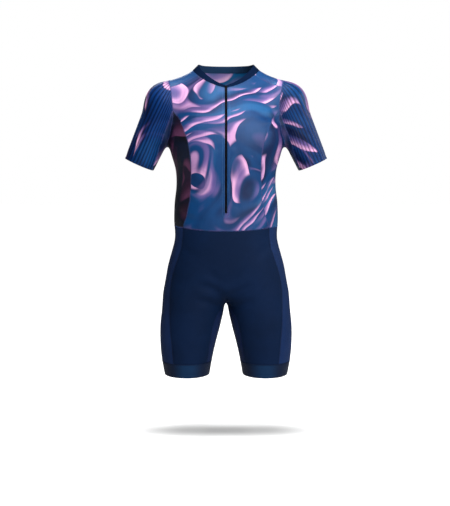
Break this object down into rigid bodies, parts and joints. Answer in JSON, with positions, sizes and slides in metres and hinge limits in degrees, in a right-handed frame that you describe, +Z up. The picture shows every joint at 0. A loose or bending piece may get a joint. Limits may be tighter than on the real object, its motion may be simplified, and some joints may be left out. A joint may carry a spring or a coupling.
{
  "type": "triathlon suit",
  "caption": "Short-sleeved one-piece triathlon suit with fitted shorts, a band collar and a front zip, hollow as if worn.",
  "frame": {"origin": "between the shoulders at the root of the neck, where the wearer carries the suit", "axes": "+Z up along the body, -Y out of the suit's front, +X towards the wearer's left"},
  "size_m": [0.5924, 0.2429, 0.9183],
  "materials": {
    "front_panel": "printed stretch jersey with a soft sheen",
    "back_panel": "printed stretch jersey with a soft sheen",
    "side_panel": "printed stretch jersey, darker towards the back",
    "sleeve": "printed ribbed jersey",
    "underarm": "printed plain jersey",
    "collar": "smooth dark navy band",
    "shorts": "matt navy stretch jersey",
    "shorts_side": "matt navy stretch jersey, a little lighter",
    "gripper": "elastic band fading from blue to navy",
    "zip_tape": "woven black tape",
    "zip": "black moulded plastic"
  },
  "bodies": {
    "garment": {"front_panel": "front_panel", "back_panel": "back_panel", "side_panel_left": "side_panel", "side_panel_right": "side_panel", "sleeve_left": "sleeve", "sleeve_right": "sleeve", "underarm_left": "underarm", "underarm_right": "underarm", "collar": "collar", "shorts_front": "shorts", "shorts_back": "shorts", "shorts_side_left": "shorts_side", "shorts_side_right": "shorts_side", "gusset": "shorts_side", "gripper_left": "gripper", "gripper_right": "gripper", "zip_tape": "zip_tape", "zip_chain": "zip", "zip_stop": "zip", "zip_slider": "zip"},
    "pull": {"zip_pull": "zip"}
  },
  "joints": [
    {"name": "zip_pull_hinge", "type": "hinge", "parent": "garment", "child": "pull", "pos_m": [0, -0.07688, -0.0445], "axis": [-1, 0, 0], "range_deg": [0, 150]}
  ]
}
